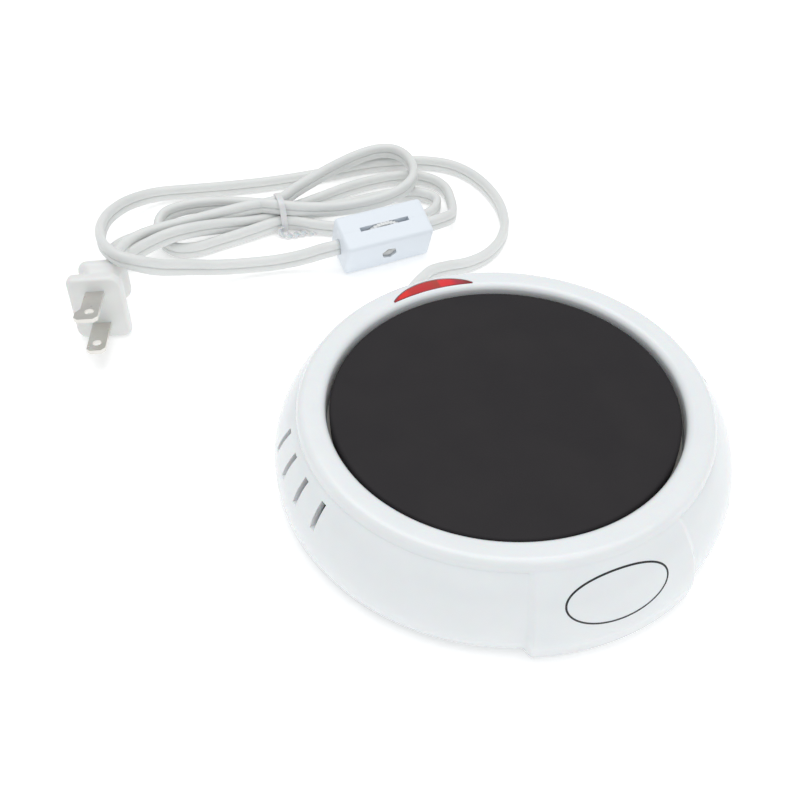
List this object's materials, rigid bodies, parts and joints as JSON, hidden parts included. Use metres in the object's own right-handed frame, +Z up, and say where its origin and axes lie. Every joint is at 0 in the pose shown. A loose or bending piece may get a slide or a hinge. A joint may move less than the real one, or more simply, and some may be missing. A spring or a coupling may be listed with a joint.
{
  "type": "warming_plate",
  "caption": "Round mains-powered warming plate for a jar candle or mug: low plastic housing, flat heated plate, lamp window, tied flat cord, inline wheel switch, two-blade plug",
  "frame": {"origin": "centre of the round housing, on the plane that its rubber feet stand on", "axes": "+Z up; -Y toward the front apron; +Y toward the lamp window and the cord outlet; +X to the right seen from the front"},
  "size_m": [0.1773, 0.2578, 0.0297],
  "materials": {
    "housing_plastic": "gloss",
    "plate_black": "satin",
    "seal_fibre": "matte",
    "lens_red": "gloss",
    "lamp_glass": "gloss",
    "plain_steel": "satin",
    "inner_plastic": "satin",
    "resistor_body": "satin",
    "wire_red": "satin",
    "mica": "satin",
    "ribbon_metal": "satin",
    "pad_fibre": "matte",
    "shield_metal": "satin",
    "bead_ceramic": "satin",
    "fuse_case": "satin",
    "wire_white": "satin",
    "wire_black": "satin",
    "sleeve_plastic": "satin",
    "cord_sheath": "satin",
    "foot_rubber": "matte",
    "gland_rubber": "satin",
    "switch_plastic": "satin",
    "wheel_plastic": "satin",
    "contact_brass": "satin",
    "tie_plastic": "gloss",
    "plug_plastic": "satin",
    "blade_metal": "satin"
  },
  "bodies": {
    "warmer": {"upper_housing": "housing_plastic", "base_cover": "housing_plastic", "hot_plate": "plate_black", "plate_seal": "seal_fibre", "indicator_lens": "lens_red", "neon_glass": "lamp_glass", "neon_electrodes": "plain_steel", "lamp_holder": "inner_plastic", "lamp_resistor": "resistor_body", "lamp_leads": "wire_red", "mica_top": "mica", "mica_bottom": "mica", "heater_ribbon": "ribbon_metal", "insulation_pad": "pad_fibre", "heat_shield": "shield_metal", "heater_terminals": "plain_steel", "terminal_beads": "bead_ceramic", "clamp_bar": "plain_steel", "clamp_stud": "plain_steel", "clamp_spacer": "plain_steel", "clamp_washer": "plain_steel", "clamp_nut": "plain_steel", "thermal_fuse": "fuse_case", "fuse_saddle": "plain_steel", "fuse_leads": "wire_white", "splice_sleeves": "sleeve_plastic", "lead_live": "wire_black", "lead_neutral": "wire_white", "cord_tail": "cord_sheath", "cord_clamp": "inner_plastic", "cord_clamp_screws": "plain_steel", "housing_screws": "plain_steel", "rubber_feet": "foot_rubber", "strain_relief": "gland_rubber", "switch_front_half": "switch_plastic", "switch_rear_half": "switch_plastic", "switch_contacts": "contact_brass", "switch_through_lead": "wire_white", "switch_screw": "plain_steel", "switch_nut": "plain_steel", "cord_to_switch": "cord_sheath", "cord_to_hank": "cord_sheath", "cord_top_loop": "cord_sheath", "cord_hank": "cord_sheath", "cord_to_plug": "cord_sheath", "twist_tie": "tie_plastic", "plug_body": "plug_plastic", "blade_neutral": "blade_metal", "blade_live": "blade_metal"},
    "wheel": {"thumb_wheel": "wheel_plastic", "wheel_contact": "contact_brass"}
  },
  "joints": [
    {"name": "wheel_turn", "type": "hinge", "parent": "warmer", "child": "wheel", "pos_m": [0.008, 0.11351, 0.01038], "axis": [0, 0.9304, 0.3665], "continuous": true}
  ]
}
